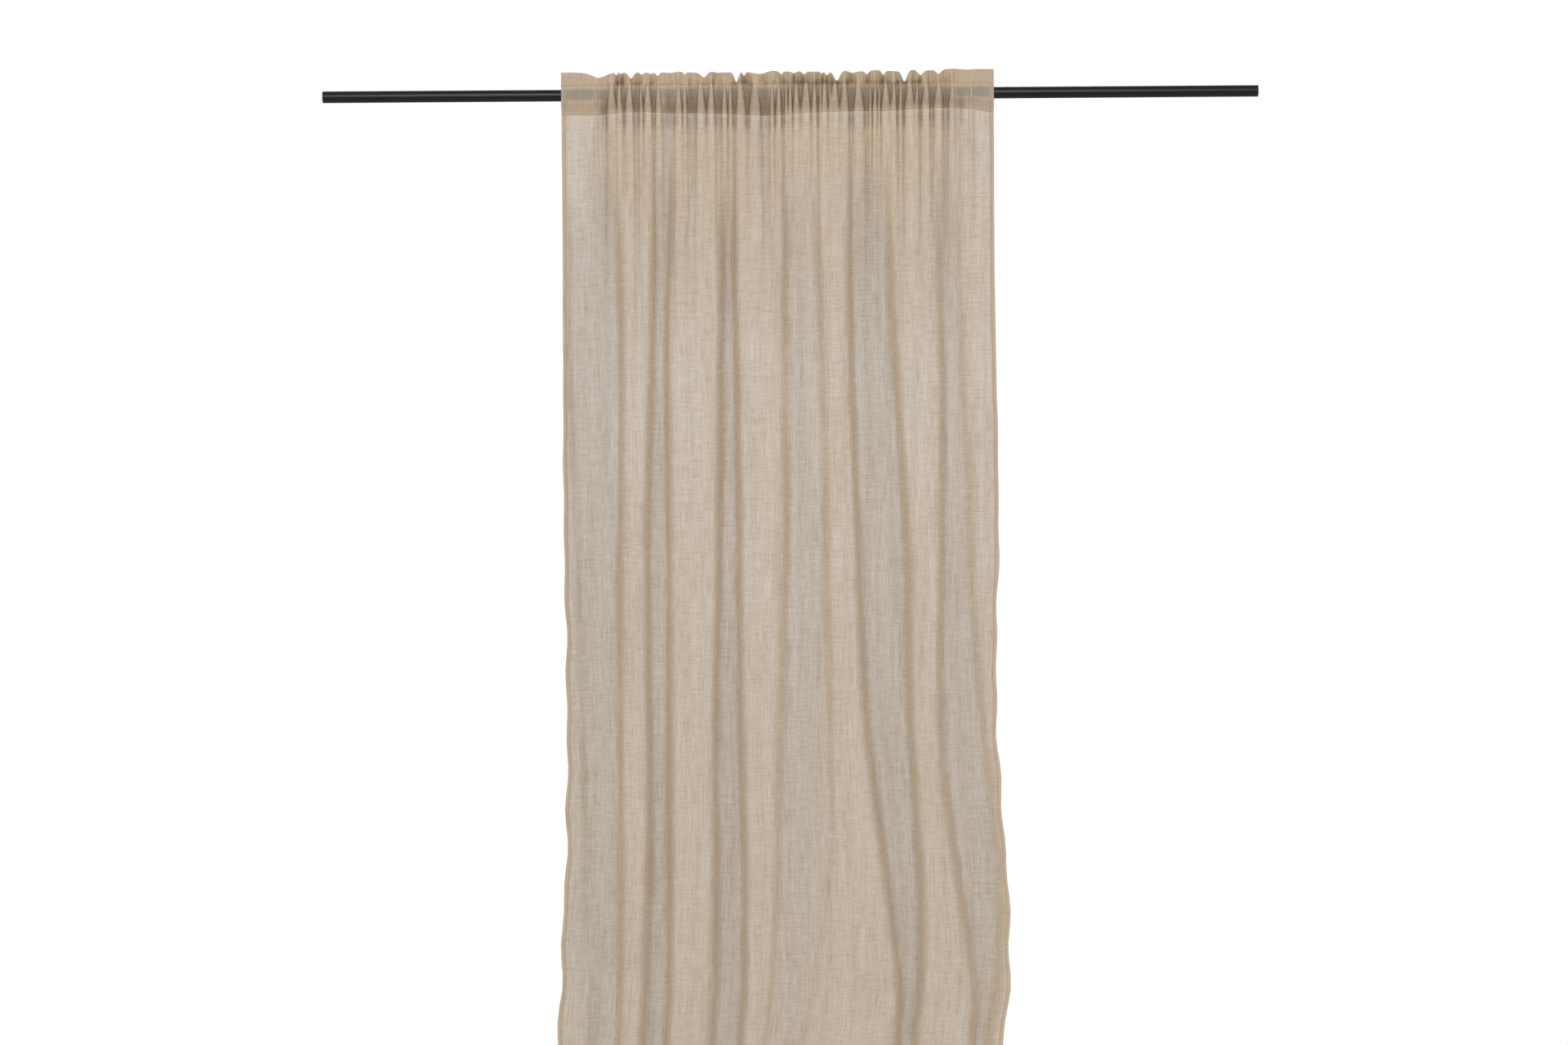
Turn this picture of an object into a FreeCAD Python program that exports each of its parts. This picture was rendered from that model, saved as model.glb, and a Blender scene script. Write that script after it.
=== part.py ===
import FreeCAD, Part

import math
import os

# A gathered rod-pocket curtain panel on its rod.
# The panel is one length of sheer cloth. Its top edge is doubled and sewn with two rows, which
# make a frill and, under it, the pocket that the rod passes through. The cloth is gathered on
# the rod in folds, and each fold slides along it, so the panel can be drawn aside.
#
# Frame: the origin is the middle of the rod's axis, +X runs along the rod, +Z is up and the
# room is on the -Y side. All sizes are millimetres.

# Rod: a stock round tube with square-cut ends
ROD_LENGTH = 1600.0
ROD_RADIUS = 10.0
ROD_WALL = 1.0
ROD_EDGE = 0.2            # deburred outer edge

# Panel as it hangs, gathered
PANEL_LEFT = -389.0
PANEL_WIDTH = 736.0
PANEL_LENGTH = 2400.0     # finished length, frill to bottom edge

# Heading, up and down from the rod's axis
UPPER_ROW = 16.5          # the row of stitches that closes the pocket's top
FRILL = 22.0              # cloth standing above that row
CASING = 50.0             # from the upper row to the lower row
PINCH = 4.0               # height of the gathered cloth at each row
SHOULDER = 3.0            # how soon a fold widens away from a pinch
PINCH_REACH = 19.0        # how far a pinch reaches in front of and behind the axis
PINCH_HALF = 6.0          # half its width along the rod

# Folds: slanted leaves that nest when the panel is drawn aside
FOLDS = 12
LEAF_GAP = 1.4            # between neighbouring leaves, along the rod
ROD_ROOM = 1.5            # from the rod's surface to the middle of the nearest leaf
HEADING_SWING = 12.0      # from a heading leaf's front edge to its rear edge, across the rod
DRAPE_SWING = 47.0        # the same below the rod
CLOTH = 0.8               # one leaf, standing for the crumpled cloth of its fold
SIDE_HEM = 10.0
SIDE_HEM_THICK = 1.6
BOTTOM_HEM = 50.0
BOTTOM_HEM_THICK = 2.0

# Small trim
THREAD = 0.5
ROW_INSET = 1.0           # from a row of stitches to the edge beside it
LABEL_WIDTH = 25.0
LABEL_HEIGHT = 45.0
LABEL_THICK = 0.3
LABEL_LIFT = 200.0        # above the bottom edge

# Worked out from the sizes above
PITCH = PANEL_WIDTH / FOLDS
HALF = (PITCH - LEAF_GAP) / 2
FRILL_TOP = UPPER_ROW + FRILL
LOWER_ROW = UPPER_ROW - CASING
DRAPE_TOP = LOWER_ROW - PINCH
HEM_TOP = FRILL_TOP - PANEL_LENGTH + BOTTOM_HEM
BOTTOM = FRILL_TOP - PANEL_LENGTH
CASING_Y = ROD_RADIUS + ROD_ROOM + HEADING_SWING / 2


def middle(fold):
    """X of the middle of a fold, counted from 1 at the left."""
    return PANEL_LEFT + (fold - 0.5) * PITCH


def leaf(fold, outline, y, swing, thick, proud=0.0):
    """A flat leaf in a vertical plane that swings from front left to rear right.

    outline holds (x from the fold's middle, z), and y is the leaf's place at that middle.
    proud moves the leaf off its plane, towards the rear when positive."""
    slope = swing / (2 * HALF)
    turn = math.atan(slope)
    normal = FreeCAD.Vector(-math.sin(turn), math.cos(turn), 0)
    start = normal * (proud - thick / 2)
    corners = [FreeCAD.Vector(middle(fold) + x, y + slope * x, z) + start for x, z in outline]
    return Part.Face(Part.makePolygon(corners + corners[:1])).extrude(normal * thick)


def rectangle(left, right, low, high):
    return [(left, low), (right, low), (right, high), (left, high)]


def pinch(fold, low):
    """The gathered cloth at a row of stitches, which ties a fold's front and rear together."""
    corner = FreeCAD.Vector(middle(fold) - PINCH_HALF, -PINCH_REACH, low)
    return Part.makeBox(2 * PINCH_HALF, 2 * PINCH_REACH, PINCH, corner)


def rod():
    """An open tube with its outer edges deburred."""
    start = FreeCAD.Vector(-ROD_LENGTH / 2, 0, 0)
    along = FreeCAD.Vector(1, 0, 0)
    outside = Part.makeCylinder(ROD_RADIUS, ROD_LENGTH, start, along)
    rims = [edge for edge in outside.Edges if isinstance(edge.Curve, Part.Circle)]
    outside = outside.makeChamfer(ROD_EDGE, rims)
    return outside.cut(Part.makeCylinder(ROD_RADIUS - ROD_WALL, ROD_LENGTH, start, along))


def heading(fold):
    """Pocket front, pocket rear, the pinches above and below the rod, and the frill."""
    casing_high = UPPER_ROW - PINCH
    casing = [
        (-PINCH_HALF, LOWER_ROW),
        (PINCH_HALF, LOWER_ROW),
        (HALF, LOWER_ROW + SHOULDER),
        (HALF, casing_high - SHOULDER),
        (PINCH_HALF, casing_high),
        (-PINCH_HALF, casing_high),
        (-HALF, casing_high - SHOULDER),
        (-HALF, LOWER_ROW + SHOULDER),
    ]
    frill = [
        (-PINCH_HALF, UPPER_ROW),
        (PINCH_HALF, UPPER_ROW),
        (HALF, UPPER_ROW + SHOULDER),
        (HALF, FRILL_TOP),
        (-HALF, FRILL_TOP),
        (-HALF, UPPER_ROW + SHOULDER),
    ]
    return Part.makeCompound([
        leaf(fold, casing, -CASING_Y, HEADING_SWING, CLOTH),
        leaf(fold, casing, CASING_Y, HEADING_SWING, CLOTH),
        pinch(fold, casing_high),
        pinch(fold, DRAPE_TOP),
        leaf(fold, frill, 0, HEADING_SWING, CLOTH),
    ])


def sides(fold):
    """A drape leaf's left and right limits: the outer folds leave room for their side hems."""
    left = SIDE_HEM - HALF if fold == 1 else -HALF
    right = HALF - SIDE_HEM if fold == FOLDS else HALF
    return left, right


def drape(fold):
    left, right = sides(fold)
    outline = [
        (-PINCH_HALF, DRAPE_TOP),
        (PINCH_HALF, DRAPE_TOP),
        (right, DRAPE_TOP - SHOULDER),
        (right, HEM_TOP),
        (left, HEM_TOP),
        (left, DRAPE_TOP - SHOULDER),
    ]
    return leaf(fold, outline, 0, DRAPE_SWING, CLOTH)


def bottom_hem(fold):
    left, right = sides(fold)
    outline = rectangle(left, right, BOTTOM, HEM_TOP)
    return leaf(fold, outline, 0, DRAPE_SWING, BOTTOM_HEM_THICK)


def thread(fold, left, right, low, high, y, swing, cloth):
    """A thread that lies on the front of a leaf of the given thickness."""
    outline = rectangle(left, right, low, high)
    return leaf(fold, outline, y, swing, THREAD, -(cloth + THREAD) / 2)


def stitching(fold):
    """The threads of the two heading rows and of the bottom hem, along one fold."""
    left, right = sides(fold)
    frill_row = UPPER_ROW + SHOULDER + ROW_INSET
    casing_row = LOWER_ROW + SHOULDER + ROW_INSET
    hem_row = HEM_TOP - ROW_INSET - THREAD
    return Part.makeCompound([
        thread(fold, -HALF, HALF, frill_row, frill_row + THREAD, 0, HEADING_SWING, CLOTH),
        thread(fold, -HALF, HALF, casing_row, casing_row + THREAD, -CASING_Y, HEADING_SWING, CLOTH),
        thread(fold, left, right, hem_row, hem_row + THREAD, 0, DRAPE_SWING, BOTTOM_HEM_THICK),
    ])


def side_hem(fold, outer, inner):
    """The double-turned hem down one side, from its outer to its inner edge."""
    outline = rectangle(min(outer, inner), max(outer, inner), BOTTOM, DRAPE_TOP - SHOULDER)
    return leaf(fold, outline, 0, DRAPE_SWING, SIDE_HEM_THICK)


def side_stitching(fold, inner, towards_edge):
    """The thread beside a side hem's inner edge."""
    near = inner + towards_edge * ROW_INSET
    far = near + towards_edge * THREAD
    low, high = BOTTOM + ROW_INSET, DRAPE_TOP - SHOULDER - ROW_INSET
    return thread(fold, min(near, far), max(near, far), low, high, 0, DRAPE_SWING, SIDE_HEM_THICK)


def care_label():
    """A blank satin tab, caught in the left side hem's seam behind the cloth."""
    left = sides(1)[0] + ROW_INSET
    low = BOTTOM + LABEL_LIFT
    outline = rectangle(left, left + LABEL_WIDTH, low, low + LABEL_HEIGHT)
    return leaf(1, outline, 0, DRAPE_SWING, LABEL_THICK, (CLOTH + LABEL_THICK) / 2)


def build():
    nodes = {"rod_tube": rod()}
    for fold in range(1, FOLDS + 1):
        nodes[f"heading_fold_{fold:02d}"] = heading(fold)
        nodes[f"drape_fold_{fold:02d}"] = drape(fold)
        nodes[f"bottom_hem_fold_{fold:02d}"] = bottom_hem(fold)
        nodes[f"stitching_fold_{fold:02d}"] = stitching(fold)
    nodes["left_side_hem"] = side_hem(1, -HALF, SIDE_HEM - HALF)
    nodes["right_side_hem"] = side_hem(FOLDS, HALF, HALF - SIDE_HEM)
    nodes["left_side_stitching"] = side_stitching(1, SIDE_HEM - HALF, -1)
    nodes["right_side_stitching"] = side_stitching(FOLDS, HALF - SIDE_HEM, 1)
    nodes["care_label"] = care_label()
    return nodes


os.makedirs("parts", exist_ok=True)
for name, shape in build().items():
    shape.exportStep(f"parts/{name}.step")
    print(name, "solids", len(shape.Solids), "volume", round(shape.Volume), "valid", shape.isValid())
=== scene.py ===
# %% [markdown]
# # A sheer rod-pocket curtain on its rod
# The panel is one long sheet of sheer, slubbed cloth. Its top edge is turned over to the back and
# sewn down with two rows of stitches. The rod runs between those rows, and the cloth above the
# upper row stands up as a frill. Pushed together on the rod, the heading gathers into some forty
# small ridges, and below it they run together into a dozen broad, soft folds.
#
# The rod, the panel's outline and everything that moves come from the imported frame. This script
# makes the cloth itself, its hems, stitches and label, and the finishes.

import math

import bmesh
import bpy
import numpy as np
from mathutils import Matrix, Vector


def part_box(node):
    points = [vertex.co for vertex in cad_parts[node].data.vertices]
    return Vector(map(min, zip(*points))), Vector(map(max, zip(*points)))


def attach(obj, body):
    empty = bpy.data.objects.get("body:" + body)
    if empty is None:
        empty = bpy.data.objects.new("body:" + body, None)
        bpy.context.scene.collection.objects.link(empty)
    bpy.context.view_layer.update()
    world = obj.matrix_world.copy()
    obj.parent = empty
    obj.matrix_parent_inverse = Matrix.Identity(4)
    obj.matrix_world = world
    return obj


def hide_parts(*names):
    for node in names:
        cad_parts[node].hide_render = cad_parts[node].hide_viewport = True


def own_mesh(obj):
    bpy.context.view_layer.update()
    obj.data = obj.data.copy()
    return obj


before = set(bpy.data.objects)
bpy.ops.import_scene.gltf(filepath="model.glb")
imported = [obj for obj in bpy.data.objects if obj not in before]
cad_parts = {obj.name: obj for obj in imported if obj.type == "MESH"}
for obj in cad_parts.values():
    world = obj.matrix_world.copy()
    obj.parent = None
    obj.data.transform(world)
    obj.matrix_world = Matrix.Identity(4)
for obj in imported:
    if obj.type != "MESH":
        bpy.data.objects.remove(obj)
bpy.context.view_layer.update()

MM = 0.001

# %% [markdown]
# The camera stands straight in front, level with the middle of its view, and is rolled a fraction
# of a degree, which lifts the rod's right end. It stands far back with a long lens, so that the
# rod and the cloth keep their proportions, and the bottom third of the panel is below the view.
# Colours are shown with the plain Standard view transform, so that a white ground is white.

# %% Camera
rod_low, rod_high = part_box("rod_tube")
ROD_LENGTH = rod_high.x - rod_low.x
ROD_RADIUS = (rod_high.z - rod_low.z) / 2

CAMERA_DISTANCE = 6.0
VIEW_WIDTH = 1.677 * ROD_LENGTH       # what the view spans at the rod
VIEW_CENTRE_X = -0.0100 * ROD_LENGTH
VIEW_CENTRE_Z = -0.4583 * ROD_LENGTH
CAMERA_ROLL = math.radians(0.4)
SENSOR_WIDTH = 36.0

camera_data = bpy.data.cameras.new("camera")
camera_data.sensor_width = SENSOR_WIDTH
camera_data.lens = SENSOR_WIDTH * CAMERA_DISTANCE / VIEW_WIDTH
camera_data.clip_end = 50             # metres, past the floor's far edge in every view
camera = bpy.data.objects.new("camera", camera_data)
camera.location = (VIEW_CENTRE_X, -CAMERA_DISTANCE, VIEW_CENTRE_Z)
camera.rotation_euler = (math.pi / 2, CAMERA_ROLL, 0)
bpy.context.scene.collection.objects.link(camera)
bpy.context.scene.camera = camera
bpy.context.scene.view_settings.view_transform = "Standard"
print("lens", round(camera_data.lens, 1), "mm")

# %% [markdown]
# The panel's sizes come from the frame: where its edges hang, where the two rows of stitches lie
# and how long it is. The flat sizes are those of the cloth before it was gathered. All lengths
# below are metres, and `across` is a place along the hung width, measured from the left edge.

# %% Panel sizes
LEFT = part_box("left_side_hem")[0].x
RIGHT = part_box("right_side_hem")[1].x
HUNG_WIDTH = RIGHT - LEFT
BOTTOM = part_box("bottom_hem_fold_06")[0].z
HEM_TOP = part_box("bottom_hem_fold_06")[1].z
FRILL_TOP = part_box("heading_fold_06")[1].z
FRILL = 22 * MM                       # cloth standing above the upper row of stitches
CASING = 50 * MM                      # from the upper row down to the casing seam
UPPER_ROW = FRILL_TOP - FRILL
LOWER_ROW = UPPER_ROW - CASING
SIDE_HEM = 10 * MM
FLAT_WIDTH = 1.200                    # finished width, between the side hems' edges
TURNED = 8 * MM                       # raw edge turned in under the casing seam
LAYER = 0.6 * MM                      # from one layer of a hem to the next
print("hung width", round(HUNG_WIDTH, 3), "finished length", round(FRILL_TOP - BOTTOM, 3))


# %% [markdown]
# Every fold line, edge and seam wanders a little down the cloth. Each is given at a few heights
# and a smooth curve runs through those places: a cubic whose slope at each place is that of the
# line through its two neighbours.

# %% Smooth curves through a few places
def ease(share):
    """The smooth step 3s^2 - 2s^3 of a share held between 0 and 1."""
    share = np.clip(share, 0, 1)
    return share * share * (3 - 2 * share)


def through(places, values, where):
    """A cubic Hermite curve through (places, values), flat outside them, at every `where`."""
    places, values = np.asarray(places, float), np.asarray(values, float)
    order = np.argsort(places)
    places, values = places[order], values[order]
    slopes = np.gradient(values, places)
    slopes[[0, -1]] = 0
    where = np.clip(where, places[0], places[-1])
    k = np.clip(np.searchsorted(places, where) - 1, 0, len(places) - 2)
    gap = places[k + 1] - places[k]
    t = (where - places[k]) / gap
    return ((1 + 2 * t) * (1 - t) ** 2 * values[k] + t * t * (3 - 2 * t) * values[k + 1]
            + gap * t * (1 - t) * ((1 - t) * slopes[k] - t * slopes[k + 1]))


# %% [markdown]
# The gathers are where the cloth is drawn together along the rod. On the real panel they are
# uneven: the first and last hand's breadth lie flat, and between them thin and wide ridges
# follow each other. A list keeps that unevenness, which a sine wave would lose. Each gather is
# (place along the width, half width, height as a share, lean to the right), in millimetres.
# Just below the casing seam the ridges go on as columns, which widen and fade as they fall.

# %% Gathers of the heading
GATHERS = [
    (59, 2.5, 0.5, 1), (86, 6.5, 1.0, 1), (100, 4.0, 0.9, -2), (115, 5.5, 1.0, 3),
    (135, 2.5, 0.8, 2), (147, 5.5, 1.0, 1), (166, 4.5, 1.0, -1), (199, 5.0, 0.9, 2),
    (211, 3.0, 0.9, -2), (238, 6.0, 1.0, -2), (254, 5.0, 1.0, 3), (277, 4.0, 0.7, 2),
    (288, 3.0, 0.8, -1), (306, 6.5, 1.0, -3), (329, 8.0, 0.8, 1), (358, 3.0, 0.8, 1),
    (369, 4.0, 0.9, 2), (382, 2.5, 0.7, 1), (389, 3.0, 0.9, 1), (400, 4.5, 1.0, -1),
    (415, 6.5, 1.0, 3), (430, 4.0, 0.9, 1), (440, 2.0, 0.7, 1), (448, 4.5, 1.0, -1),
    (457, 2.0, 0.7, 0), (465, 6.0, 1.0, 1), (481, 6.0, 0.9, 2), (506, 7.0, 1.0, -2),
    (525, 2.0, 0.8, 1), (533, 3.0, 0.9, 1), (540, 2.0, 0.7, 1), (552, 6.0, 1.0, -1),
    (565, 4.0, 0.9, 1), (576, 2.5, 0.9, 2), (592, 6.5, 1.0, 1), (604, 3.0, 0.6, 2),
    (619, 5.5, 1.0, 3), (641, 6.0, 1.0, 1), (664, 4.5, 0.9, 1), (697, 3.6, 0.6, 0),
]
RIDGE = 14.0 * MM                     # how far a full gather stands forward of a hollow
ROW_RIDGE = 0.42                      # share of that left where the stitches pinch it
TOP_DEPTH = 8.0 * MM                  # how far in front of the rod's axis the upper row lies
SEAM_DEPTH = 1.0 * MM                 # and the casing seam
ROD_GAP = 0.9 * MM                    # cloth's middle to the rod's surface
WIDENING = 420 * MM                   # drop in which a column gains its own half width


def gather_height(across, z):
    """How far each spot is raised, from 0 in a hollow to 1 on a ridge, and its lean in metres.

    Each gather is a flat-topped bump, exp(-|t|^3) of the distance over its width. It is narrow at
    the upper row, widens to the casing seam, and below it spreads out and dies away; a wide
    gather reaches further down. The bumps are added and bent over at 1 by 1 - exp(-sum)."""
    below = np.maximum(LOWER_ROW - z, 0)
    in_pocket = np.clip((z - LOWER_ROW) / (UPPER_ROW - LOWER_ROW), 0, 1)
    raised, lean = 0, 0
    for place, half, strength, tilt in GATHERS:
        reach = (50 + 55 * half) * MM
        width = half * MM * (1.05 - 0.62 * in_pocket ** 1.3 + below / WIDENING)
        bump = np.exp(-np.abs((across - place * MM) / width) ** 3)
        kept = strength * np.exp(-(below / reach) ** 1.2)
        raised = raised + 2.0 * bump * kept
        lean = lean + tilt * MM * bump * kept
    return 1 - np.exp(-raised), lean


print("gathers:", len(GATHERS))

# %% [markdown]
# Below the heading the cloth hangs in broad folds. A front panel and a rear panel take turns,
# and between them the cloth runs almost straight back, which is what shows as a narrow, denser
# line. Each row below is one such line: its place along the width, in millimetres, at six
# heights going down, its half width, and the depth of the panel to its right (minus is forward).

# %% Broad folds of the drape
FOLD_HEIGHTS = [-0.13, -0.47, -0.75, -1.31, -1.57, -2.36]    # metres below the rod
FIRST_PANEL = 3                      # depth of the panel at the left edge
FOLDS = [
    # places going down                  half  depth high, low
    ((14, 12, 21, 32, 50, 44),           4.5,   15,   13),
    ((95, 100, 96, 93, 100, 98),         3.4,  -16,  -18),
    ((158, 150, 142, 140, 139, 142),     3.4,   15,   17),
    ((185, 177, 178, 175, 179, 176),     2.8,  -18,  -19),
    ((275, 268, 263, 251, 253, 250),     3.2,   16,   17),
    ((294, 296, 297, 299, 301, 304),     3.6,  -17,  -16),
    ((381, 376, 376, 355, 342, 340),     5.0,    9,    4),
    ((431, 441, 444, 443, 410, 420),     5.5,  -15,  -10),
    ((488, 490, 497, 532, 559, 556),     4.0,   17,   18),
    ((556, 565, 580, 591, 591, 594),     3.4,  -18,  -19),
    ((637, 644, 640, 650, 681, 672),     5.0,   12,   10),
    ((672, 679, 688, 722, 714, 716),     6.0,   -9,  -12),
]


def fold_depth(across, z):
    """The drape's depth behind the rod's axis, in metres.

    It starts at the first panel's depth, and each fold line adds its step, shaped by a steep and
    a gentle tanh together, so that a panel is bowed and its sides are steep."""
    low = ease((-0.75 - z) / 0.8)
    depth = FIRST_PANEL
    last_high, last_low = FIRST_PANEL, FIRST_PANEL
    for places, half, high, deep in FOLDS:
        line = through(FOLD_HEIGHTS, places, z)
        t = (across / MM - line) / half
        step = (high - last_high) * (1 - low) + (deep - last_low) * low
        depth = depth + step * (0.5 + 0.38 * np.tanh(t) + 0.12 * np.tanh(t / 6))
        last_high, last_low = high, deep
    return depth * MM


print("fold lines:", len(FOLDS))

# %% [markdown]
# The frill stands free above the upper row. Its top edge is scalloped: it rises between the
# places where a gather pulls the edge down, and each scallop leans to the front or to the back in
# turn. A dip is (place along the width, depth, half width), in millimetres. The two side edges
# wander too, and the casing seam rides up and down a little; both are given as a few offsets in
# millimetres.

# %% Frill, edges and seam
DIPS = [
    (63, 9, 14), (94, 5, 3), (102, 3, 3), (119, 10, 6), (137, 4, 4), (153, 3, 4), (164, 6, 4),
    (187, 2, 8), (210, 4, 3), (243, 9, 7), (265, 2, 8), (298, 18, 5), (311, 7, 3), (341, 4, 12),
    (374, 5, 4), (396, 3, 6), (413, 5, 4), (443, 4, 3), (452, 7, 4), (469, 17, 7), (495, 3, 8),
    (520, 6, 4), (548, 8, 4), (584, 19, 6), (611, 8, 6), (642, 7, 6),
]
FRILL_SWAY = 8.5 * MM                 # how far a scallop leans at its edge
FRILL_PUFF = 5.0 * MM                 # how far the frill's two layers part
FRILL_RIPPLE = 2.8 * MM               # fine creases half way up the frill
EDGE_RIPPLE = 1.8 * MM                # waves of the side edges
GATHERS_END = 680 * MM                # beyond this the heading lies flat again
SEAM_PLACES = [0, 60, 110, 200, 290, 355, 410, 470, 560, 640, 690, 736]
SEAM_LIFT = [0, 0, 4, 2, 0, -3, 1, 3, 4, 8, 7, 1]
EDGE_HEIGHTS = [0, -0.30, -0.75, -1.03, -1.18, -1.31, -1.45, -1.53, -1.62, -1.9, -2.36]
LEFT_EDGE = [-3, -3, -4, -1, -2, -4, -12, -15, -20, -17, -15]
RIGHT_EDGE = [1, 0, 4, -2, 3, 13, 18, 17, 5, 10, 8]


def frill_top(across):
    """Height of the frill's edge: its mean, a slow ripple, and the dips taken off."""
    x = across / MM
    top = FRILL_TOP / MM + 1.5 * ease((x - 560) / 120) + 0.6 * np.sin(x / 9) * np.sin(x / 23)
    for place, depth, half in DIPS:
        top = top - depth * np.exp(-((x - place) / half) ** 2)
    return top * MM


def scallop(across):
    """From -1 to 1: half a sine wave between each pair of dips, to the front and back in turn."""
    places = np.array([0] + [dip[0] for dip in DIPS] + [HUNG_WIDTH / MM])
    x = np.clip(across / MM, 0, HUNG_WIDTH / MM - 1e-6)
    k = np.clip(np.searchsorted(places, x, side="right") - 1, 0, len(places) - 2)
    t = (x - places[k]) / (places[k + 1] - places[k])
    reach = np.clip((places[k + 1] - places[k]) / 30, 0.35, 1)
    return np.where(k % 2 == 0, -1, 1) * np.sin(math.pi * t) * reach


def pocket_open(z):
    """0 at both rows of stitches, where front and rear meet, and 1 over the rod between them."""
    from_top = ease((UPPER_ROW - z) / (UPPER_ROW - 3 * MM))
    from_seam = ease((z - LOWER_ROW) / (-5 * MM - LOWER_ROW))
    return np.minimum(from_top, from_seam)


print("dips of the frill:", len(DIPS))

# %% [markdown]
# Cloth that has been washed and hung is never quite smooth between its folds. A few dozen long,
# shallow waves with random phases, drawn from a seeded generator, give it that crumple.

# %% Crumple
chance = np.random.default_rng(7)
WAVES = 36
WAVE_ACROSS = chance.uniform(14, 70, WAVES) * MM
WAVE_DOWN = chance.uniform(120, 700, WAVES) * MM * chance.choice([-1, 1], WAVES)
WAVE_PHASE = chance.uniform(0, 2 * math.pi, WAVES)
CRUMPLE = 0.16 * MM


def crumple(across, z):
    """The sum of the waves sin(2 pi (across / length + z / drop) + phase), long ones higher."""
    total = 0
    for length, drop, phase in zip(WAVE_ACROSS, WAVE_DOWN, WAVE_PHASE):
        turn = 2 * math.pi * (across / length + z / drop) + phase
        total = total + (length / (30 * MM)) * np.sin(turn)
    return CRUMPLE * total


print("crumple waves:", WAVES)

# %% [markdown]
# Now the whole sheet. Its rows start at the raw edge inside the bottom hem, turn up the hem, climb
# the front to the frill, go over the fold at the top, and come down behind the rod to the casing
# seam, as the real sheet does. Its columns start at the raw edge inside the left side hem and end
# inside the right one. Each row is worked out as a curve in plan, then cut by length of cloth,
# so that the weave is hardly stretched or squeezed where the cloth is gathered.

# %% Rows of the sheet
FRONT, REAR = 0, 1


def row_table():
    """For each row: its height, its share of the frill's height, its side and its extra layer.

    The rows of the drape lie closer together towards the heading, by 1 - (1 - s)^1.5."""
    rows = []

    def add(heights, share=0.0, side=FRONT, layer=0.0):
        heights = np.atleast_1d(heights)
        shares = np.broadcast_to(share, heights.shape)
        rows.extend((z, s, side, layer) for z, s in zip(heights, shares))

    hem = HEM_TOP - BOTTOM
    add(BOTTOM + hem * np.array([0.06, 0.5, 0.97]), layer=1)
    add(BOTTOM + hem * np.array([1.0, 0.6, 0.2, 0.0]), layer=2)
    add(BOTTOM + hem * np.array([0.0, 0.2, 0.6, 0.96, 1.0]))
    drop = LOWER_ROW - HEM_TOP
    steps = np.linspace(0, 1, 112)[1:]
    add(HEM_TOP + drop * (1 - (1 - steps) ** 1.5))
    add(np.linspace(LOWER_ROW, UPPER_ROW, 25)[1:])
    add(np.full(9, UPPER_ROW), share=np.linspace(0.1, 1, 9))
    add(np.full(9, UPPER_ROW), share=np.linspace(1, 0.1, 9), side=REAR)
    add(np.linspace(UPPER_ROW, LOWER_ROW, 22), side=REAR)
    add(LOWER_ROW + TURNED * np.array([0.3, 1.0]), side=REAR, layer=-0.5)
    return np.array(rows, float)


ROWS = row_table()
row_z, row_frill, row_side, row_layer = (column[:, None] for column in ROWS.T)
print("rows:", len(ROWS))

# %% [markdown]
# The sheet's surface is one function. The two walls of the pocket are built from the same gathers,
# one bulging where the other is hollow, so they meet exactly at both rows of stitches. A cloth
# simulation could settle such a panel too, but it would put the gathers and folds in places of
# its own; here each one keeps the place it was given.

# %% The surface
DENSE = 5200                          # places along a row where the curve is first worked out


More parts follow.
